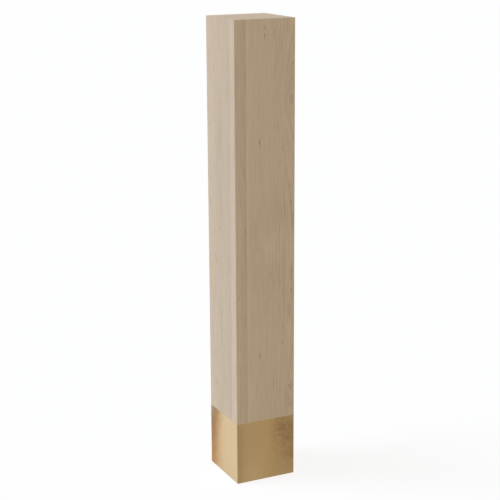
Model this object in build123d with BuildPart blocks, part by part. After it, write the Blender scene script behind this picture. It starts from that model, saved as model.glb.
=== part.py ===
from build123d import *
import os

# Square table leg in millimetres: a glued-up maple post whose rebated foot wears a square brass sleeve.
# The origin is on the floor at the middle of the foot. +Z is up, and the front face looks along -Y.

# Whole leg
leg_width = 101.6  # 4 in square
leg_height = 736.6  # 29 in from the floor to the top
corner_radius = 0.8  # sanded arris of the post, and the corner of the tube that the sleeve is cut from
top_easing = 0.4  # small bevel round the sawn top

# Glue-up: a front layer of two boards on one thick block
layer_thickness = 19.05  # 3/4 in boards
strip_width = 19.05  # the narrow board at the front left corner

# Brass sleeve: a length of square tube
sleeve_height = 101.6
sleeve_wall = 3.2
bore_radius = 0.8  # inside corners of the tube
rim_break = 0.4  # deburred rim that stands on the floor

# Tenon that fills the sleeve
glue_gap = 0.15  # adhesive between the tenon and each wall of the sleeve
tenon_radius = 3.0  # tenon corners, sanded to clear the inside corners of the tube
tenon_relief = 1.5  # end grain held clear of the floor
tenon_lead = 1.5  # bevel that guides the tenon into the sleeve

# Sizes that follow
half_width = leg_width / 2
bore_width = leg_width - 2 * sleeve_wall
tenon_width = bore_width - 2 * glue_gap
tenon_length = sleeve_height - tenon_relief

# Glued blank, machined whole: square post, shoulder and tenon
with BuildPart() as blank:
    with BuildSketch(Plane.XY.offset(sleeve_height)) as post_section:
        RectangleRounded(leg_width, leg_width, corner_radius)
    extrude(amount=leg_height - sleeve_height)
    chamfer(blank.faces().sort_by(Axis.Z)[-1].edges(), top_easing)
    with BuildSketch(Plane.XY.offset(sleeve_height)) as tenon_section:
        RectangleRounded(tenon_width, tenon_width, tenon_radius)
    extrude(amount=-tenon_length)
    chamfer(blank.faces().sort_by(Axis.Z)[0].edges(), tenon_lead)

# Glue lines: one behind the front layer, one between the strip and the face board
layer_joint = Plane.XZ.offset(half_width - layer_thickness)
strip_joint = Plane.YZ.offset(strip_width - half_width)

# Thick block behind the front layer
with BuildPart() as main_block:
    add(blank)
    split(bisect_by=layer_joint, keep=Keep.BOTTOM)

# Wide board of the front layer
with BuildPart() as face_board:
    add(blank)
    split(bisect_by=layer_joint, keep=Keep.TOP)
    split(bisect_by=strip_joint, keep=Keep.TOP)

# Narrow board of the front layer, seen on two faces of the leg
with BuildPart() as corner_strip:
    add(blank)
    split(bisect_by=layer_joint, keep=Keep.TOP)
    split(bisect_by=strip_joint, keep=Keep.BOTTOM)

# Square tube sleeve, flush with the post and butted against its shoulder
with BuildPart() as foot_sleeve:
    with BuildSketch() as tube_section:
        RectangleRounded(leg_width, leg_width, corner_radius)
        RectangleRounded(bore_width, bore_width, bore_radius, mode=Mode.SUBTRACT)
    extrude(amount=sleeve_height)
    chamfer(foot_sleeve.faces().sort_by(Axis.Z)[0].edges(), rim_break)

# One STEP file for each piece
os.makedirs("parts", exist_ok=True)
pieces = {
    "main_block": main_block,
    "face_board": face_board,
    "corner_strip": corner_strip,
    "foot_sleeve": foot_sleeve,
}
for name, piece in pieces.items():
    piece.part.label = name
    export_step(piece.part, f"parts/{name}.step")
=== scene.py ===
import math

import bpy
import numpy as np
from mathutils import Matrix, Vector


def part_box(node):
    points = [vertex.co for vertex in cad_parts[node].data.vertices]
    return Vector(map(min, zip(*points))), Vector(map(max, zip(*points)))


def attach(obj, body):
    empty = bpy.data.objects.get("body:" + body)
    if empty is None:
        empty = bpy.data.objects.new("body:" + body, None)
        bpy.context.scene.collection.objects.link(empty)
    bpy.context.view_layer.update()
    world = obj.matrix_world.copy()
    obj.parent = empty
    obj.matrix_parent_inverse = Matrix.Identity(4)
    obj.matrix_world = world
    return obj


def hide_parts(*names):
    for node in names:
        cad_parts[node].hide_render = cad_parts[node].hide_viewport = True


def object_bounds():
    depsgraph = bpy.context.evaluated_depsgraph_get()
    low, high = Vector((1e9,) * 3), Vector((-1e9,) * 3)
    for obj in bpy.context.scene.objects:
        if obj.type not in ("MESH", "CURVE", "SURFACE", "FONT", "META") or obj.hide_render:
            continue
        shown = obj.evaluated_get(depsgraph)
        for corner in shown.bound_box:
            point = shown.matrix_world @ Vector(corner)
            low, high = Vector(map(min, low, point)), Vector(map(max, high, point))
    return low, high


# Square table leg: three staves of sanded maple glued into one post, with a rubbed brass sleeve on its foot.
# Meshes are in metres, in the leg's own frame: floor at z = 0 and the front face towards -Y.
# Pattern sizes and places are in millimetres.
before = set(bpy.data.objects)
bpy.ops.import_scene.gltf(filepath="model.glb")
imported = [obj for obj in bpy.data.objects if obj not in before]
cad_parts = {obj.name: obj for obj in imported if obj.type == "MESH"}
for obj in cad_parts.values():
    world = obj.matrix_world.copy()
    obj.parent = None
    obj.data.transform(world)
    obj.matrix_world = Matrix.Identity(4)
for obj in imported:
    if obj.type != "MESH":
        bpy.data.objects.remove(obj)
cadLow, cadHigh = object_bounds()
mm = 0.001
legHalf = cadHigh.x / mm
legTop = cadHigh.z / mm
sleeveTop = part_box("foot_sleeve")[1].z / mm
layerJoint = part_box("main_block")[0].y / mm  # glue plane behind the front layer
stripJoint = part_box("face_board")[0].x / mm  # glue plane between the strip and the face board
print("frame loaded:", sorted(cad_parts))


# sRGB hex to the linear colour that the shader sockets take
def linear(hexColour):
    levels = np.array([int(hexColour[i:i + 2], 16) for i in (1, 3, 5)]) / 255
    curve = np.where(levels <= 0.04045, levels / 12.92, ((levels + 0.055) / 1.055) ** 2.4)
    return (*curve.tolist(), 1.0)


# Adds a node, sets its properties, and gives each named or numbered input a value or a link. A Mix of colours
# has its share at input 0, the colours at 6 and 7, and its result at output 2.
def addNode(tree, kind, inputs, **settings):
    node = tree.nodes.new("ShaderNode" + kind)
    for key, value in settings.items():
        setattr(node, key, value)
    for key, value in inputs.items():
        if isinstance(value, bpy.types.NodeSocket):
            tree.links.new(value, node.inputs[key])
        else:
            node.inputs[key].default_value = value
    return node


# a material with an empty node tree, and Object coordinates turned to millimetres
def startMaterial(name):
    material = bpy.data.materials.new(name)
    material.use_nodes = True
    tree = material.node_tree
    tree.nodes.clear()
    coords = addNode(tree, "TexCoord", {}).outputs["Object"]
    place = addNode(tree, "VectorMath", {0: coords, "Scale": 1 / mm}, operation="SCALE").outputs[0]
    return material, tree, place


# Nearness to a spot on a face of the leg: 1 at its middle, falling evenly to 0 at reach times its half sizes.
# The spot is given by mm across the face, seen from outside, and mm above the floor. A positive lean tips its
# top to the right. The gradient takes the mapped point as it is, so that a material has room for many spots.
def nearSpot(tree, place, face, across, height, wide, deep, tall, reach, lean=0.0):
    spread = across - legHalf
    spots = {
        "front": (spread, -legHalf),
        "right": (legHalf, spread),
        "back": (-spread, legHalf),
        "left": (-legHalf, -spread),
    }
    turns = {"front": (0, 1, 0), "right": (-1, 0, 0), "back": (0, -1, 0), "left": (1, 0, 0)}
    sizes = (wide, deep, tall) if face in ("front", "back") else (deep, wide, tall)
    about = addNode(tree, "Mapping", {
        "Vector": place,
        "Location": (*spots[face], height),
        "Rotation": Vector(turns[face]) * math.radians(lean),
        "Scale": Vector(sizes) * reach,
    }, vector_type="TEXTURE").outputs[0]
    return addNode(tree, "TexGradient", {"Vector": about}, gradient_type="SPHERICAL").outputs["Fac"]


bellReach = 3.0  # in half sizes: a bell is as good as 0 there


# Total plus bell-shaped bumps, each exp(-d squared) times its strength. The distance d is in half sizes, and
# comes from nearSpot: bellReach times what it leaves of 1. Places are mm down from a top edge.
def bells(tree, place, patches, top, total, depth=None):
    for face, across, down, wide, tall, strength in patches:
        near = nearSpot(tree, place, face, across, top - down, wide, depth or wide, tall, bellReach)
        away = addNode(tree, "Math", {0: 1.0, 1: near}, operation="SUBTRACT").outputs[0]
        square = addNode(tree, "Math", {0: away, 1: away}, operation="MULTIPLY").outputs[0]
        bell = addNode(tree, "Math", {
            0: math.exp(-bellReach ** 2), 1: square,
        }, operation="POWER").outputs[0]
        total = addNode(tree, "Math", {
            0: bell, 1: strength, 2: total,
        }, operation="MULTIPLY_ADD").outputs[0]
    return total


# place pushed about by the colour of a noise, by up to half of reach each way: mid grey is no push
def pushedBy(tree, noise, reach, place):
    middle = (0.5, 0.5, 0.5)
    push = addNode(tree, "VectorMath", {0: noise, 1: middle}, operation="SUBTRACT").outputs[0]
    return addNode(tree, "VectorMath", {0: push, 1: reach, 2: place}, operation="MULTIPLY_ADD").outputs[0]


# Sanded hard maple, no finish: pale and close, with thin latewood lines, short vessel dashes along the grain,
# soft streaks and a few brown mineral flecks. The rings are cylinders about the pith, so every face, the end
# grain too, is a cut through the same tree.
maple = {
    "latewood": "#9A846A",
    "fleck": "#684431",
    "glue": "#8A7860",
    "endGrain": "#AE9161",
    "glueLine": 0.8,  # half width in mm: a real line is finer, and would not show
    "swayWidth": 90.0,  # size of the slow wander of the grain, across and along it
    "swayLength": 420.0,
    "unevenEvery": 4.0,  # ring widths wander over this many rings, by this many
    "unevenBy": 1.4,
    "ringRise": (0.15, 0.75),  # shares of a year's growth where latewood starts and where it is full
    "ringDrop": (0.8, 1.0),  # and where it stops
    "yearWeights": (0.5, 1.0),  # weakest and strongest year
    # noises drawn out along the grain: size across and along it, octaves, levels used, and how strong it is
    "streakWidth": 2.6,
    "streakLength": 38.0,
    "streakDetail": 3.0,
    "streakLevels": (0.4, 0.75),
    "streakShare": 0.19,
    "dashWidth": 1.3,  # vessels are finer, and would not show
    "dashLength": 6.0,
    "dashDetail": 1.0,
    "dashLevels": (0.58, 0.72),
    "dashShare": 0.13,
    "gapWidth": 3.0,
    "gapLength": 40.0,
    "gapDetail": 1.0,
    "gapLevels": (0.35, 0.6),
    "gapShare": 0.25,  # what is left of a latewood line in a gap
    "toneWidth": 26.0,
    "toneLength": 260.0,
    "toneDetail": 3.0,
    "toneLevels": (0.25, 0.75),
    "toneShare": 0.3,
    "fleckCore": 0.2,  # a fleck is full within this share of its half size
    "fleckReach": 1.4,  # and gone at this many times it
    "fleckGrit": 0.45,  # specks per mm in its ragged edge
    "fleckDrag": (1.6, 1.6, 4.0),  # how far they drag the edge about
    "endShare": 0.37,
    "endRingShare": 0.3,
    "endTilt": (0.6, 0.9),  # upward part of the normal where end grain starts to show and where it is full
    "roughness": 0.58,
    "roughSpread": 0.08,
    "relief": 0.05,  # depth of the raised grain
    "bumpStrength": 0.5,
    "ior": 1.5,
    "specular": 0.3,
}

# Each stave has two tones, its own part of the tree, and its marks.
# Shade: axis, mm at the pale side and at the tan side, share of the tan tone at each.
# Calm: axis, mm where the rings are weakest and where they are full, share of them left at the weakest.
# Pith: mm from the leg's axis; its lean is in radians. Joints: axis, mm, strength of the glue line.
# Slides: mm down where a sideways slide of the grain starts and ends, push in mm.
# Swirls: face, mm across, mm down, half width, half length, sideways push on the grain in mm.
# Shades: the same, with a share of the tan tone. Hushes: the same, taking away from the rings' strength.
# Flecks: the same, with a strength and, for some, a lean in degrees.
mainBlock = {
    "pale": "#D6C4AE",
    "tan": "#C1B09D",
    "shade": ("Y", 50.8, -31.7, 0.12, 0.5),
    "ringShare": 0.16,
    "calm": ("X", -48.0, -10.0, 0.35),
    "pith": (84.0, 8.0),
    "lean": (0.004, 0.006),
    "ringWidth": 2.7,
    "sway": 4.0,
    "seed": 3.0,
    "joints": [("Y", layerJoint, 0.24)],
    "slides": [],
    "shades": [
        ("left", 44, 340, 19, 420, 0.18),
        ("left", 79, 90, 4, 40, 0.08),
        ("left", 78, 560, 9, 90, 0.26),
        ("left", 15, 570, 24, 90, 0.12),
        ("right", 23, 368, 9, 700, 0.2),
    ],
    "hushes": [],
    "swirls": [
        ("left", 27, 76, 6, 12, 2.0),
        ("left", 28, 377, 6, 12, 2.0),
        ("left", 26, 588, 6, 12, 2.0),
        ("right", 62, 235, 16, 70, 5.0),
        ("right", 60, 236, 4, 7, 3.0),
        ("right", 30, 520, 14, 60, 4.0),
        ("back", 66, 421, 14, 60, 5.0),
        ("back", 67, 420, 4, 6, 3.0),
    ],
    "flecks": [
        ("left", 27, 73, 2.6, 3, 0.22),
        ("left", 27, 79, 3.0, 4, 0.18),
        ("left", 15, 86, 1.4, 17, 0.22),
        ("left", 8, 56, 3, 5, 0.10),
        ("left", 25, 47, 3, 5, 0.06),
        ("left", 51, 45, 1.8, 8, 0.1),
        ("left", 46.5, 129, 2.6, 6, 0.15),
        ("left", 48.8, 165, 1.6, 36, 0.24),
        ("left", 9, 165, 3, 5, 0.14),
        ("left", 49.3, 284, 1.7, 36, 0.26),
        ("left", 44.5, 325, 2.4, 6, 0.2),
        ("left", 8, 291, 3.2, 8, 0.17),
        ("left", 27, 373, 2.8, 3.4, 0.28),
        ("left", 28, 380, 2.8, 4, 0.26),
        ("left", 26, 418, 1.6, 18, 0.07),
        ("left", 9.5, 395, 2.6, 4, 0.12),
        ("left", 50.5, 401, 1.6, 9, 0.14),
        ("left", 32, 228, 2.4, 5, 0.08),
        ("left", 62, 179, 2.0, 4, 0.06),
        ("left", 80.5, 115, 1.3, 34, 0.06),
        ("left", 80.5, 214, 1.2, 22, 0.2),
        ("left", 80, 618, 1.3, 24, 0.1),
        ("left", 49, 460, 2.8, 4, 0.17),
        ("left", 49, 467, 2.8, 4, 0.17),
        ("left", 48.5, 492, 2.8, 4, 0.17),
        ("left", 46.5, 505, 1.6, 24, 0.08),
        ("left", 48.5, 515, 2.8, 4, 0.14),
        ("left", 49, 545, 1.5, 14, 0.13, -12),
        ("left", 26, 587, 2.8, 6, 0.24),
        ("right", 58, 235, 2.4, 5, 0.34),
        ("right", 34, 402, 1.3, 7, 0.5),
        ("right", 71, 560, 1.2, 9, 0.4),
        ("back", 22, 132, 1.3, 7, 0.45),
        ("back", 67, 420, 2.2, 5, 0.34),
        ("back", 41, 560, 1.2, 11, 0.4),
    ],
}
faceBoard = {
    "pale": "#CEBDA6",
    "tan": "#C5B49F",
    "shade": ("X", -31.7, 50.8, 0.3, 0.4),
    "ringShare": 0.42,
    "calm": ("X", -4.0, 26.0, 0.06),
    "pith": (-12.0, 10.0),
    "lean": (-0.002, 0.002),
    "ringWidth": 2.5,
    "sway": 2.5,
    "seed": 11.0,
    "joints": [("X", stripJoint, 0.03), ("Y", layerJoint, 0.24)],
    "slides": [],
    "shades": [
        ("front", 20.5, 368, 2.2, 700, -0.5),
        ("front", 44, 340, 18, 500, 0.28),
        ("front", 32, 360, 16, 75, 0.23),
        ("front", 70, 296, 16, 30, 0.6),
        ("front", 70, 402, 16, 28, 0.6),
        ("front", 57, 350, 11, 18, -0.7),
        ("front", 88, 195, 11, 50, -0.3),
        ("front", 87, 530, 14, 50, -0.55),
        ("front", 98, 92, 7, 40, 0.7),
        ("front", 97, 590, 7, 26, 0.5),
        ("front", 91, 460, 6, 12, 0.4),
        ("front", 95, 280, 3, 40, 0.4),
        ("front", 95, 440, 3, 36, 0.3),
        ("front", 28, 596, 6, 36, -0.35),
        ("right", 17, 368, 6, 700, -0.85),
    ],
    "hushes": [
        ("front", 100, 75, 11, 66, -0.85),
        ("front", 92, 395, 5, 95, -0.75),
        ("front", 100, 596, 9, 42, -0.7),
    ],
    "swirls": [
        ("front", 105, 118, 42, 62, 16.0),
        ("front", 105, 155, 30, 125, 11.0),
        ("front", 102, 450, 14, 40, 4.0),
        ("front", 105, 590, 26, 42, 11.0),
        ("front", 99, 28, 4, 6, 2.0),
        ("front", 98, 67, 4, 6, 2.2),
        ("front", 98, 90, 4, 6, 2.2),
        ("front", 96, 122, 4.5, 7, 3.5),
        ("front", 93, 257, 3.5, 6, 2.5),
        ("front", 95, 424, 3.0, 5, 2.0),
        ("front", 95, 585, 4.0, 6, 3.2),
        ("front", 95, 617, 3.5, 5, 2.4),
        ("front", 50, 24, 4, 12, 1.5),
    ],
    "flecks": [
        ("front", 50, 23.5, 1.6, 2.8, 0.44),
        ("front", 50.6, 13, 2.4, 5, 0.2),
        ("front", 50.6, 27, 1.8, 5, 0.2),
        ("front", 50.2, 39, 0.9, 12, 0.2),
        ("front", 66, 21, 0.9, 9, 0.28),
        ("front", 41, 184, 1.1, 6.0, 0.52),
        ("front", 81.3, 197, 1.4, 3.6, 0.22),
        ("front", 41, 525, 1.1, 6.5, 0.52),
        ("front", 81.3, 509, 1.3, 4, 0.28),
        ("front", 77.3, 511, 1.1, 3, 0.2),
        ("front", 66, 161, 1.0, 5, 0.14),
        ("front", 69.3, 62, 1.0, 38, 0.16, 2),
        ("front", 67, 118, 0.9, 26, 0.1, 5),
        ("front", 97, 30, 1.2, 6, 0.26, 21),
        ("front", 93.6, 43, 1.1, 13, 0.17, 15),
        ("front", 89.8, 64, 1.0, 16, 0.14, 9),
        ("front", 99, 44, 0.9, 10, 0.2, 12),
        ("front", 97, 54, 0.9, 11, 0.14, 12),
        ("front", 96.8, 68, 1.4, 4.5, 0.3, 38),
        ("front", 92.8, 78, 1.1, 9, 0.24, 18),
        ("front", 97, 80, 1.0, 8, 0.15, 16),
        ("front", 95.8, 90.5, 1.5, 4, 0.23, 52),
        ("front", 92.3, 99, 1.2, 9, 0.22, 12),
        ("front", 90, 110, 1.2, 8, 0.24, 12),
        ("front", 97.5, 101, 1.0, 9, 0.15, 8),
        ("front", 95.5, 116.5, 1.3, 4, 0.26, 50),
        ("front", 93.2, 122, 1.3, 6, 0.23, 6),
        ("front", 97.3, 121, 1.3, 6, 0.2, -4),
        ("front", 95.8, 127, 1.8, 3, 0.2),
        ("front", 95.8, 122, 2.8, 6, 0.14),
        ("front", 86.8, 128, 0.9, 16, 0.14, 8),
        ("front", 92.5, 148, 0.9, 12, 0.12, -4),
        ("front", 95.5, 168, 1.0, 13, 0.22, -9),
        ("front", 98.5, 182, 1.1, 8, 0.21, -9),
        ("front", 85.8, 193, 0.9, 32, 0.12, -1),
        ("front", 83.5, 232, 0.9, 20, 0.1, 3),
        ("front", 88.3, 236, 0.9, 14, 0.15, -8),
        ("front", 91, 251, 1.1, 8, 0.17, -12),
        ("front", 92.6, 258, 1.6, 4, 0.28, 25),
        ("front", 83.6, 290, 1.0, 24, 0.12),
        ("front", 95.5, 290, 1.0, 24, 0.18, -5),
        ("front", 95.3, 283, 1.5, 4, 0.38),
        ("front", 97, 312, 1.3, 18, 0.34),
        ("front", 75.5, 322, 0.9, 8, 0.13),
        ("front", 83.4, 372, 0.9, 46, 0.17),
        ("front", 75.3, 387, 0.9, 14, 0.12),
        ("front", 96, 394, 1.4, 18, 0.4),
        ("front", 59.5, 396, 1.0, 8, 0.16),
        ("front", 76, 411, 1.0, 7, 0.17),
        ("front", 96, 424, 1.7, 4, 0.42),
        ("front", 96.8, 438, 1.0, 9, 0.18, 3),
        ("front", 91.8, 450, 1.3, 5, 0.17, 24),
        ("front", 94.2, 449.5, 1.5, 4, 0.21, -30),
        ("front", 92.6, 460, 3.2, 9, 0.14),
        ("front", 84, 442, 0.9, 36, 0.17),
        ("front", 83, 485, 0.9, 9, 0.16),
        ("front", 86.6, 499, 1.0, 3, 0.2),
        ("front", 86.2, 531, 0.9, 32, 0.17, -1),
        ("front", 98, 521, 1.1, 8, 0.28, 9),
        ("front", 95.6, 543, 1.1, 18, 0.26, 8),
        ("front", 92.6, 565, 1.0, 12, 0.27, 6),
        ("front", 64.3, 576, 1.0, 11, 0.15, -1),
        ("front", 92.6, 584, 1.3, 6, 0.28, -28),
        ("front", 96.6, 583, 1.3, 6, 0.28, -6),
        ("front", 95.6, 589, 1.5, 4, 0.3, -30),
        ("front", 86.8, 598, 0.9, 12, 0.15, -7),
        ("front", 91, 604, 1.0, 14, 0.18, -10),
        ("front", 67, 613, 1.0, 18, 0.14, -4),
        ("front", 88.2, 613, 0.9, 20, 0.15, -9),
        ("front", 94, 616, 1.5, 4.5, 0.25, -40),
        ("front", 97, 617, 1.2, 4, 0.18, 20),
        ("right", 40, 300, 1.2, 8, 0.3),
    ],
}
cornerStrip = {
    "pale": "#D2C0AB",
    "tan": "#BFAE99",
    "shade": ("X", -50.8, -38.0, 0.05, 0.65),
    "ringShare": 0.4,
    "calm": ("X", -50.8, -48.0, 0.05),
    "pith": (-148.0, -36.0),
    "lean": (0.0, 0.0),
    "ringWidth": 4.0,
    "sway": 2.0,
    "seed": 23.0,
    "joints": [("X", stripJoint, 0.03), ("Y", layerJoint, 0.24)],
    "slides": [(200, 310, -10.0), (375, 445, 5.0)],
    "shades": [
        # darker along the front corner: painted shade that cancels the light caught by the rounded edge
        ("front", 2, 368, 3.5, 700, 0.25),
        ("front", 17.5, 368, 2.5, 700, 0.12),
        ("front", 17, 60, 2.5, 110, 0.12),
        ("front", 9.5, 65, 9, 110, 0.15),
        ("front", 8, 375, 9, 110, -0.1),
        ("left", 95, 368, 5, 700, -0.12),
    ],
    "hushes": [],
    "swirls": [],
    "flecks": [
        ("front", 16, 26, 0.9, 4, 0.2),
        ("front", 15.5, 175, 0.9, 4, 0.22),
        ("front", 16.4, 232, 0.9, 14, 0.2),
        ("front", 16.4, 350, 0.8, 46, 0.26),
        ("front", 16.4, 321, 1.0, 9, 0.36),
        ("front", 5, 426, 0.9, 5, 0.25),
        ("front", 16, 466, 1.2, 10, 0.2),
    ],
}


# Where each point lies in the grain: its place, pushed sideways by a slow noise, by swirls round knots and by
# slides along the stave.
def grainPlace(tree, place, stave):
    seed = stave["seed"]
    slow = addNode(tree, "Mapping", {
        "Vector": place,
        "Location": (seed, seed, seed),
        "Scale": (1 / maple["swayWidth"], 1 / maple["swayWidth"], 1 / maple["swayLength"]),
    }).outputs[0]
    noise = addNode(tree, "TexNoise", {"Vector": slow, "Scale": 1.0, "Detail": 1.0}).outputs["Color"]
    swayed = pushedBy(tree, noise, (2 * stave["sway"], 2 * stave["sway"], 0.0), place)
    pushes = []
    for faces in (("front", "back"), ("right", "left")):
        swirls = [swirl for swirl in stave["swirls"] if swirl[0] in faces]
        pushes.append(bells(tree, place, swirls, legTop, 0.0))
    height = addNode(tree, "SeparateXYZ", {0: place}).outputs["Z"]
    for start, end, push in stave["slides"]:
        slide = addNode(tree, "MapRange", {
            "Value": height, "From Min": legTop - start, "From Max": legTop - end, "To Max": push,
        }, interpolation_type="SMOOTHSTEP").outputs[0]
        pushes[0] = addNode(tree, "Math", {0: pushes[0], 1: slide}, operation="ADD").outputs[0]
    sideways = addNode(tree, "CombineXYZ", {0: pushes[0], 1: pushes[1]}).outputs[0]
    return addNode(tree, "VectorMath", {0: swayed, 1: sideways}, operation="ADD").outputs[0]


# streaks, vessel dashes, gaps in the latewood and slow tone: noises drawn out along the grain
def drawnNoises(tree, grain, seed):
    noises = {}
    for layer in ("streak", "dash", "gap", "tone"):
        fine = 1 / maple[layer + "Width"]
        drawn = addNode(tree, "Mapping", {
            "Vector": grain,
            "Location": (seed * 2, seed * 3, seed),
            "Scale": (fine, fine, 1 / maple[layer + "Length"]),
        }).outputs[0]
        noises[layer] = addNode(tree, "TexNoise", {
            "Vector": drawn, "Scale": 1.0, "Detail": maple[layer + "Detail"],
        }).outputs["Fac"]
    return noises


# Growth rings of uneven width about the leaning pith. The distance from it, counted in ring widths, gives the
# year and how far through it a point lies: a ring darkens slowly to its latewood, stops sharply, and has its
# year's own weight.
def growthRings(tree, grain, stave):
    width = stave["ringWidth"]
    fromPith = addNode(tree, "Mapping", {
        "Vector": grain, "Location": (*stave["pith"], 0.0), "Rotation": (*stave["lean"], 0.0),
    }, vector_type="TEXTURE").outputs[0]
    flat = addNode(tree, "VectorMath", {
        0: fromPith, 1: (1.0, 1.0, 0.0),
    }, operation="MULTIPLY").outputs[0]
    radius = addNode(tree, "VectorMath", {0: flat}, operation="LENGTH").outputs["Value"]
    slow = addNode(tree, "Math", {
        0: radius, 1: maple["unevenEvery"] * width,
    }, operation="DIVIDE").outputs[0]
    uneven = addNode(tree, "TexNoise", {
        "W": slow, "Scale": 1.0, "Detail": 1.0,
    }, noise_dimensions="1D").outputs["Fac"]
    radius = addNode(tree, "Math", {
        0: uneven, 1: maple["unevenBy"] * width, 2: radius,
    }, operation="MULTIPLY_ADD").outputs[0]
    count = addNode(tree, "Math", {0: radius, 1: width}, operation="DIVIDE").outputs[0]
    through = addNode(tree, "Math", {0: count}, operation="FRACT").outputs[0]
    year = addNode(tree, "Math", {0: count}, operation="FLOOR").outputs[0]
    chance = addNode(tree, "TexWhiteNoise", {"W": year}, noise_dimensions="1D").outputs["Value"]
    weakest, strongest = maple["yearWeights"]
    ring = addNode(tree, "MapRange", {"Value": chance, "To Min": weakest, "To Max": strongest}).outputs[0]
    for stage, before, after in (("ringRise", 0.0, 1.0), ("ringDrop", 1.0, 0.0)):
        start, end = maple[stage]
        share = addNode(tree, "MapRange", {
            "Value": through, "From Min": start, "From Max": end, "To Min": before, "To Max": after,
        }, interpolation_type="SMOOTHSTEP").outputs[0]
        ring = addNode(tree, "Math", {0: ring, 1: share}, operation="MULTIPLY").outputs[0]
    return ring


# the rings as they show on the long faces: weaker on the calm side, broken by gaps, hushed round some marks
def latewoodLines(tree, place, axes, ring, gap, stave):
    axis, start, end, least = stave["calm"]
    clear = addNode(tree, "MapRange", {
        "Value": axes[axis], "From Min": start, "From Max": end,
        "To Min": least * stave["ringShare"], "To Max": stave["ringShare"],
    }, interpolation_type="SMOOTHSTEP").outputs[0]
    start, end = maple["gapLevels"]
    broken = addNode(tree, "MapRange", {
        "Value": gap, "From Min": start, "From Max": end, "To Min": maple["gapShare"],
    }).outputs[0]
    quiet = bells(tree, place, stave["hushes"], legTop, 1.0)
    line = ring
    for share in (clear, broken, quiet):
        line = addNode(tree, "Math", {0: line, 1: share}, operation="MULTIPLY").outputs[0]
    return line


# share of the stave's tan tone: a ramp across it, with slow clouds along the grain and shades in places
def tanTone(tree, place, axes, cloud, stave):
    axis, paleSide, tanSide, least, most = stave["shade"]
    shade = addNode(tree, "MapRange", {
        "Value": axes[axis], "From Min": paleSide, "From Max": tanSide, "To Min": least, "To Max": most,
    }).outputs[0]
    start, end = maple["toneLevels"]
    cloud = addNode(tree, "MapRange", {
        "Value": cloud, "From Min": start, "From Max": end,
        "To Min": -maple["toneShare"] / 2, "To Max": maple["toneShare"] / 2,
    }).outputs[0]
    tone = addNode(tree, "Math", {0: shade, 1: cloud}, operation="ADD").outputs[0]
    return bells(tree, place, stave["shades"], legTop, tone)


# mineral flecks: soft spindles along the grain, with ragged edges from a fine noise
def mineralFlecks(tree, place, stave):
    grit = addNode(tree, "TexNoise", {
        "Vector": place, "Scale": maple["fleckGrit"], "Detail": 2.0,
    }).outputs["Color"]
    ragged = pushedBy(tree, grit, maple["fleckDrag"], place)
    reach = maple["fleckReach"]
    marks = 0.0
    for face, across, down, wide, tall, strength, *lean in stave["flecks"]:
        near = nearSpot(tree, ragged, face, across, legTop - down, wide, wide, tall, reach, *lean)
        mark = addNode(tree, "MapRange", {
            "Value": near, "From Max": 1 - maple["fleckCore"] / reach, "To Max": strength,
        }, interpolation_type="SMOOTHSTEP").outputs[0]
        marks = addNode(tree, "Math", {0: mark, 1: marks}, operation="MAXIMUM").outputs[0]
    return marks


# hairline of glue on each joint plane, fading out to both sides of it
def glueLines(tree, axes, joints):
    glue = 0.0
    for axis, plane, strength in joints:
        away = addNode(tree, "Math", {0: axes[axis], 1: plane}, operation="SUBTRACT").outputs[0]
        away = addNode(tree, "Math", {0: away}, operation="ABSOLUTE").outputs[0]
        hair = addNode(tree, "MapRange", {
            "Value": away, "From Max": maple["glueLine"], "To Min": strength, "To Max": 0.0,
        }).outputs[0]
        glue = addNode(tree, "Math", {0: hair, 1: glue}, operation="MAXIMUM").outputs[0]
    return glue


# End grain takes up more dirt, so a face that looks up or down is a little darker, and its rings are plain.
# Gives the share of dirt and the share of the rings.
def endGrain(tree, ring):
    normal = addNode(tree, "NewGeometry", {}).outputs["Normal"]
    upright = addNode(tree, "VectorMath", {
        0: normal, 1: (0.0, 0.0, 1.0),
    }, operation="DOT_PRODUCT").outputs["Value"]
    upright = addNode(tree, "Math", {0: upright}, operation="ABSOLUTE").outputs[0]
    start, full = maple["endTilt"]
    shares = []
    for most in (maple["endShare"], maple["endRingShare"]):
        shares.append(addNode(tree, "MapRange", {
            "Value": upright, "From Min": start, "From Max": full, "To Max": most,
        }).outputs[0])
    dirt, rings = shares
    return dirt, addNode(tree, "Math", {0: rings, 1: ring}, operation="MULTIPLY").outputs[0]


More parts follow.
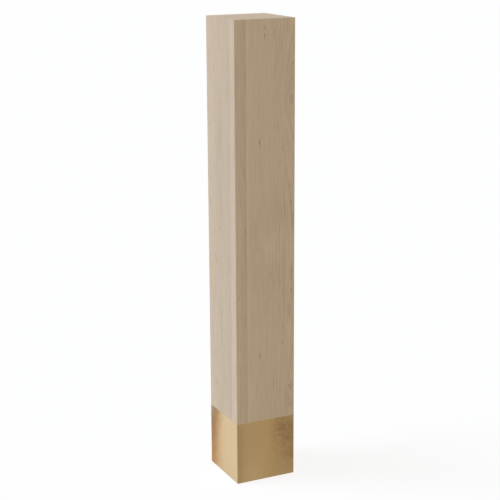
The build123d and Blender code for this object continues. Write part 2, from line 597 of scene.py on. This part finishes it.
def sandedMaple(name, stave):
    material, tree, place = startMaterial(name)
    axes = addNode(tree, "SeparateXYZ", {0: place}).outputs
    grain = grainPlace(tree, place, stave)
    noises = drawnNoises(tree, grain, stave["seed"])
    ring = growthRings(tree, grain, stave)
    line = latewoodLines(tree, place, axes, ring, noises["gap"], stave)
    dirt, endRing = endGrain(tree, ring)
    shares = {}
    for layer in ("streak", "dash"):
        start, end = maple[layer + "Levels"]
        shares[layer] = addNode(tree, "MapRange", {
            "Value": noises[layer], "From Min": start, "From Max": end, "To Max": maple[layer + "Share"],
        }).outputs[0]

    # colour: each layer lies over the ones before it
    layers = [
        (line, "latewood"),
        (shares["streak"], "latewood"),
        (shares["dash"], "latewood"),
        (dirt, "endGrain"),
        (endRing, "latewood"),
        (glueLines(tree, axes, stave["joints"]), "glue"),
        (mineralFlecks(tree, place, stave), "fleck"),
    ]
    tone = tanTone(tree, place, axes, noises["tone"], stave)
    wood = addNode(tree, "Mix", {
        0: tone, 6: linear(stave["pale"]), 7: linear(stave["tan"]),
    }, data_type="RGBA", clamp_factor=False).outputs[2]
    for share, over in layers:
        wood = addNode(tree, "Mix", {
            0: share, 6: wood, 7: linear(maple[over]),
        }, data_type="RGBA").outputs[2]

    # raised grain and a slightly uneven sheen
    height = addNode(tree, "Math", {0: line, 1: shares["dash"]}, operation="ADD").outputs[0]
    bump = addNode(tree, "Bump", {
        "Height": height, "Strength": maple["bumpStrength"], "Distance": maple["relief"] * mm,
    }, invert=True).outputs[0]
    rough = addNode(tree, "MapRange", {
        "Value": noises["streak"],
        "To Min": maple["roughness"] - maple["roughSpread"],
        "To Max": maple["roughness"] + maple["roughSpread"],
    }).outputs[0]
    shader = addNode(tree, "BsdfPrincipled", {
        "Base Color": wood, "Roughness": rough, "Normal": bump,
        "IOR": maple["ior"], "Specular IOR Level": maple["specular"],
    }).outputs[0]
    addNode(tree, "OutputMaterial", {"Surface": shader})
    return material


staves = {"main_block": mainBlock, "face_board": faceBoard, "corner_strip": cornerStrip}
for node, stave in staves.items():
    wood = sandedMaple("sanded maple " + node.replace("_", " "), stave)
    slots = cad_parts[node].data.materials
    for i in range(len(slots)):
        slots[i] = wood
print("maple on the three staves")

# Brass sleeve, cut from square tube and rubbed by hand
sleeve = {
    "wall": 3.2,
    "cornerRadius": 0.8,
    "rimBreak": 0.4,
    "sidePoints": 40,
    "arcPoints": 7,
    "risePoints": 36,
    "edgeShare": 0.004,  # extra points this close to the corners keep the flats flat
    "hollow": 0.06,  # depth of the broad hollows that rubbing leaves in each face
    "waveShare": 0.6,  # how uneven they are
    "firstWave": (0.061, 0.045, 0.02),  # radians per mm along the face, up it, and from face to face
    "secondWave": (0.038, -0.052),  # along the face and up it
    "sharpAngle": 35.0,
    "brass": "#DBC396",
    "tarnishAndPaintedShade": "#916F3B",
    "tintAndDarkReflection": "#BE8D51",
    "stain": "#614231",
    "bloom": "#A09A7C",
    "roughness": 0.38,
    "roughSpread": 0.08,
    "cloudSize": 7.0,  # mottling of the stains
    "cloudDetail": 6.0,
    "cloudRoughness": 0.65,
    "cloudLevels": (0.35, 0.65),  # noise levels used, and what they do to a stain's strength
    "cloudGains": (0.72, 1.28),
    "cloudDrift": 27.0,  # how far the mottling drags the edges of the tints, with their painted reflection, and of the stains about
    "rubWidth": 16.0,  # rubbing lines: length along the rub, and spacing
    "rubSpacing": 0.6,
    "rubDetail": 3.0,
    "relief": 0.01,
    "bumpStrength": 0.5,
    "soakDepth": 0.3,  # marks fade out over the rounded corners, which stay rubbed brighter
    # marks: face, mm across, mm below the top rim, half width, half height, strength
    "filmAndPaintedShade": [
        # the wash over the whole front is painted shade on top of a thin tarnish, so the front shows darker
        # than the left
        ("front", 50, 50, 400, 400, 0.74),
        ("front", 0, 50, 12, 200, 0.15),
        ("front", 30, 106, 24, 38, -0.1),
        ("left", 62, 106, 46, 30, 0.12),
        ("left", 103, 40, 5, 200, 0.1),
        ("right", 30, 50, 110, 150, 0.5),
        ("back", 70, 50, 120, 150, 0.35),
    ],
    "clouds": [
        ("front", 94, 20, 11, 9, 0.16),
        ("front", 90, 40, 12, 6, 0.09),
        ("front", 90, 62, 6, 6, 0.06),
        ("front", 101, 70, 5, 12, 0.1),
        ("front", 77, 10, 15, 24, 0.2),
        ("front", 95, 44, 28, 58, 0.36),
        ("left", 9, 26, 12, 44, 0.38),
        ("left", 18, 0, 14, 18, 0.22),
        ("left", 4, 98, 9, 26, 0.12),
        ("right", 20, 26, 22, 26, 0.2),
        ("right", 2, 46, 18, 54, 0.26),
        ("right", 90, 70, 16, 40, 0.2),
        ("back", 24, 30, 28, 26, 0.3),
        ("back", 96, 36, 14, 50, 0.28),
    ],
    "tintsAndDarkReflection": [
        # a coppery tint that also paints a dark reflection, darkest at the left face's back edge and fading
        # towards its front
        ("left", -7, 76, 35, 72, 1.45),
        ("left", 26, -8, 16, 45, 0.7),
        ("left", 8, 34, 12, 20, 0.2),
        ("right", 104, 50, 24, 110, 0.4),
        ("back", 107, 66, 32, 80, 1.0),
    ],
    "blooms": [
        ("front", 6, 48, 26, 140, 0.19),
        ("front", 84, 98, 18, 32, 0.12),
        ("left", 10, -2, 13, 16, 0.34),
        ("right", 96, 20, 16, 60, 0.2),
        ("back", 8, 60, 18, 80, 0.2),
    ],
}


# Plan loops round rounded squares, one row for each half width: every corner is a quarter arc about its own
# centre, and straight points run from each arc's end to the next arc's start. Counter-clockwise from above.
def squareLoops(halves, radius):
    signs = np.array([(-1, -1), (1, -1), (1, 1), (-1, 1)])
    starts = np.radians([180, 270, 0, 90])
    angles = starts[:, None] + np.linspace(0, np.pi / 2, sleeve["arcPoints"])
    directions = np.stack([np.cos(angles), np.sin(angles)], -1)
    centres = signs * (halves - radius)[:, None, None]
    arcs = centres[:, :, None] + radius * directions
    ends = arcs[:, :, -1:]
    nexts = np.roll(arcs[:, :, :1], -1, axis=1)
    edge = sleeve["edgeShare"]
    shares = np.linspace(0, 1, sleeve["sidePoints"])[1:-1]
    shares = np.concatenate([[edge], shares, [1 - edge]])[:, None]
    sides = ends * (1 - shares) + nexts * shares
    return np.concatenate([arcs, sides], 2).reshape(len(halves), -1, 2)


# The sleeve is a closed profile of the wall carried round the square: up the outside, in over the top rim,
# down the inside and out over the bevelled bottom rim. Each outer face is hollowed a little, less towards its
# edges, and the product of two slow waves makes the hollow uneven, so that reflections aren't dead flat.
def sleeveSurface():
    wall = sleeve["wall"]
    bevel = sleeve["rimBreak"]
    rise = np.linspace(bevel, sleeveTop, sleeve["risePoints"])
    inset = np.concatenate([np.zeros(len(rise)), [wall, wall, wall - bevel, bevel]])
    height = np.concatenate([rise, [sleeveTop, bevel, 0.0, 0.0]])
    loops = squareLoops(legHalf - inset, sleeve["cornerRadius"])
    x, y = loops[..., 0], loops[..., 1]
    z = np.broadcast_to(height[:, None], x.shape)
    facesX = np.abs(x) > np.abs(y)
    along = np.where(facesX, y, x)
    fade = np.clip(1 - (along / legHalf) ** 2, 0, 1) * np.sin(np.pi * np.clip(z / sleeveTop, 0, 1))
    alongTurn, upTurn, roundTurn = sleeve["firstWave"]
    waves = np.sin(alongTurn * along + upTurn * z + roundTurn * (x - y))
    alongTurn, upTurn = sleeve["secondWave"]
    waves = waves * np.cos(alongTurn * along + upTurn * z)
    uneven = (1 + sleeve["waveShare"] * waves) / (1 + sleeve["waveShare"])
    depth = np.where(inset[:, None] == 0, sleeve["hollow"] * fade * uneven, 0)
    x = x - np.where(facesX, np.sign(x) * depth, 0)
    y = y - np.where(facesX, 0, np.sign(y) * depth)
    return np.stack([x, y, z], -1) * mm


# a grid closed both ways as one mesh: rows follow the wall's profile, columns run round the square
def closedGrid(name, points):
    rows, columns = points.shape[:2]
    here = np.arange(rows * columns).reshape(rows, columns)
    beside = np.roll(here, -1, axis=1)
    quads = np.stack([here, beside, np.roll(beside, -1, axis=0), np.roll(here, -1, axis=0)], -1)
    mesh = bpy.data.meshes.new(name)
    mesh.from_pydata(points.reshape(-1, 3).tolist(), [], quads.reshape(-1, 4).tolist())
    mesh.validate()
    mesh.shade_smooth()
    mesh.set_sharp_from_angle(angle=math.radians(sleeve["sharpAngle"]))
    piece = bpy.data.objects.new(name, mesh)
    bpy.context.scene.collection.objects.link(piece)
    return piece


# Rubbed brass, lightly aged: a soft yellow sheen, a thin brown tarnish on some faces, whose wash over the
# front also paints that face's shade, a coppery tint towards some corners, which also paints a dark
# reflection along the left face's back edge, dark mottled stains and a faint grey bloom.
def rubbedBrass():
    material, tree, place = startMaterial("rubbed brass")
    cloudy = addNode(tree, "VectorMath", {
        0: place, "Scale": 1 / sleeve["cloudSize"],
    }, operation="SCALE").outputs[0]
    noise = addNode(tree, "TexNoise", {
        "Vector": cloudy, "Scale": 1.0,
        "Detail": sleeve["cloudDetail"], "Roughness": sleeve["cloudRoughness"],
    }).outputs
    shares = {"tintsAndDarkReflection": 0.0, "clouds": 0.0}
    for kind in ("filmAndPaintedShade", "blooms"):
        shares[kind] = bells(tree, place, sleeve[kind], sleeveTop, 0.0, sleeve["soakDepth"])

    # the edges of the tints, with their painted reflection, and of the stains are ragged: the noise drags
    # them about, along the face only
    for faces, plane in ((("front", "back"), (1, 0, 1)), (("right", "left"), (0, 1, 1))):
        ragged = pushedBy(tree, noise["Color"], Vector(plane) * sleeve["cloudDrift"], place)
        for kind in ("tintsAndDarkReflection", "clouds"):
            patches = [patch for patch in sleeve[kind] if patch[0] in faces]
            shares[kind] = bells(tree, ragged, patches, sleeveTop, shares[kind], sleeve["soakDepth"])

    # the stains are mottled too
    start, end = sleeve["cloudLevels"]
    least, most = sleeve["cloudGains"]
    mottle = addNode(tree, "MapRange", {
        "Value": noise["Fac"], "From Min": start, "From Max": end, "To Min": least, "To Max": most,
    }).outputs[0]
    shares["clouds"] = addNode(tree, "Math", {
        0: shares["clouds"], 1: mottle,
    }, operation="MULTIPLY").outputs[0]
    metal = linear(sleeve["brass"])
    # the film paints the front face's shade as well as tarnish, and the tint paints a dark reflection on the
    # left face as well as copper
    for kind, over in (("tintsAndDarkReflection", "tintAndDarkReflection"), ("filmAndPaintedShade", "tarnishAndPaintedShade"), ("clouds", "stain"), ("blooms", "bloom")):
        metal = addNode(tree, "Mix", {
            0: shares[kind], 6: metal, 7: linear(sleeve[over]),
        }, data_type="RGBA").outputs[2]

    # rubbing lines run round the sleeve
    drawn = addNode(tree, "Mapping", {
        "Vector": place,
        "Scale": (1 / sleeve["rubWidth"], 1 / sleeve["rubWidth"], 1 / sleeve["rubSpacing"]),
    }).outputs[0]
    rub = addNode(tree, "TexNoise", {
        "Vector": drawn, "Scale": 1.0, "Detail": sleeve["rubDetail"],
    }).outputs["Fac"]
    bump = addNode(tree, "Bump", {
        "Height": rub, "Strength": sleeve["bumpStrength"], "Distance": sleeve["relief"] * mm,
    }).outputs[0]
    rough = addNode(tree, "MapRange", {
        "Value": noise["Fac"],
        "To Min": sleeve["roughness"] - sleeve["roughSpread"],
        "To Max": sleeve["roughness"] + sleeve["roughSpread"],
    }).outputs[0]
    shader = addNode(tree, "BsdfPrincipled", {
        "Base Color": metal, "Metallic": 1.0, "Roughness": rough, "Normal": bump,
    }).outputs[0]
    addNode(tree, "OutputMaterial", {"Surface": shader})
    return material


brassSleeve = closedGrid("brass_sleeve", sleeveSurface())
brassSleeve.data.materials.append(rubbedBrass())
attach(brassSleeve, "root")
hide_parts("foot_sleeve")
print("brass sleeve:", len(brassSleeve.data.polygons), "faces")

# Plain studio: a white floor, a soft cool key from behind on the left, a weak warm fill low in front
studio = {
    "white": "#FFFFFF",
    "floorColour": "#F4EDE3",  # to all but the camera and reflections, which see it white
    "floorRoughness": 0.95,
    "floorSize": 60.0,
    "floorGlow": 0.88,  # how far the floor shows plain white; its shading and shadow are the rest
    "keyFrom": (-0.55, 0.25, 0.8),
    "keyLevel": 2.63,
    "keyColour": "#E2EAFF",
    "keyAngle": 30.0,
    "fillFrom": (0.35, -0.92, 0.18),
    "fillLevel": 0.39,
    "fillColour": "#FFC784",
    "fillAngle": 50.0,
    "ambientLevel": 0.36,
    "ambientColour": "#FFFFE4",
}


# 1 for the rays that should meet a white background: camera, glossy and transmission
def whiteRays(tree):
    rays = addNode(tree, "LightPath", {}).outputs
    seen = addNode(tree, "Math", {
        0: rays["Is Camera Ray"], 1: rays["Is Glossy Ray"],
    }, operation="MAXIMUM").outputs[0]
    return addNode(tree, "Math", {
        0: seen, 1: rays["Is Transmission Ray"],
    }, operation="MAXIMUM").outputs[0]


# a flat sheet whose white is mostly its own, so that only a soft shadow shows on it
def studioFloor():
    reach = studio["floorSize"] / 2
    corners = [(-reach, -reach, 0), (reach, -reach, 0), (reach, reach, 0), (-reach, reach, 0)]
    mesh = bpy.data.meshes.new("floor")
    mesh.from_pydata(corners, [], [(0, 1, 2, 3)])
    floor = bpy.data.objects.new("floor", mesh)
    bpy.context.scene.collection.objects.link(floor)
    paper = bpy.data.materials.new("matt white paper")
    paper.use_nodes = True
    tree = paper.node_tree
    tree.nodes.clear()
    seen = whiteRays(tree)
    glow = addNode(tree, "Math", {0: seen, 1: studio["floorGlow"]}, operation="MULTIPLY").outputs[0]
    colour = addNode(tree, "Mix", {
        0: seen, 6: linear(studio["floorColour"]), 7: linear(studio["white"]),
    }, data_type="RGBA").outputs[2]
    matt = addNode(tree, "BsdfPrincipled", {
        "Base Color": colour, "Roughness": studio["floorRoughness"], "Specular IOR Level": 0.0,
    }).outputs[0]
    white = addNode(tree, "Emission", {"Color": linear(studio["white"]), "Strength": 1.0}).outputs[0]
    mixed = addNode(tree, "MixShader", {0: glow, 1: matt, 2: white}).outputs[0]
    addNode(tree, "OutputMaterial", {"Surface": mixed})
    mesh.materials.append(paper)


# a sun with a wide disc, so that its shadows are soft
def softSun(name):
    lamp = bpy.data.lights.new(name, "SUN")
    lamp.energy = studio[name + "Level"]
    lamp.color = linear(studio[name + "Colour"])[:3]
    lamp.angle = math.radians(studio[name + "Angle"])
    holder = bpy.data.objects.new(name, lamp)
    holder.rotation_mode = "QUATERNION"
    holder.rotation_quaternion = Vector(studio[name + "From"]).to_track_quat("Z", "Y")
    bpy.context.scene.collection.objects.link(holder)


# the room is white to the camera and in reflections, and a weak warm light to everything else
def studioWorld():
    world = bpy.data.worlds.new("studio")
    world.use_nodes = True
    tree = world.node_tree
    tree.nodes.clear()
    ambient = addNode(tree, "Background", {
        "Color": linear(studio["ambientColour"]), "Strength": studio["ambientLevel"],
    }).outputs[0]
    white = addNode(tree, "Background", {"Color": linear(studio["white"]), "Strength": 1.0}).outputs[0]
    mixed = addNode(tree, "MixShader", {0: whiteRays(tree), 1: ambient, 2: white}).outputs[0]
    addNode(tree, "OutputWorld", {"Surface": mixed})
    bpy.context.scene.world = world


studioFloor()
softSun("key")
softSun("fill")
studioWorld()
bpy.context.scene.view_settings.view_transform = "Standard"
print("studio lit")

# Camera worked out from the leg's corners in the photograph: it stands in front on the left and looks down
# a little
shot = {
    "place": (-0.86342, -1.78904, 0.89061),
    "yaw": 25.709,  # degrees to the right of +Y
    "pitch": 14.659,  # degrees down
    "roll": -0.293,
    "lens": 93.27,
    "sensor": 36.0,
}
lens = bpy.data.cameras.new("camera")
lens.lens = shot["lens"]
lens.sensor_width = shot["sensor"]
camera = bpy.data.objects.new("camera", lens)
turned = Matrix.Rotation(math.radians(-shot["yaw"]), 4, "Z")
tilted = Matrix.Rotation(math.radians(90 - shot["pitch"]), 4, "X")
rolled = Matrix.Rotation(math.radians(shot["roll"]), 4, "Z")
camera.matrix_world = Matrix.Translation(shot["place"]) @ turned @ tilted @ rolled
bpy.context.scene.collection.objects.link(camera)
bpy.context.scene.camera = camera
print("camera set")
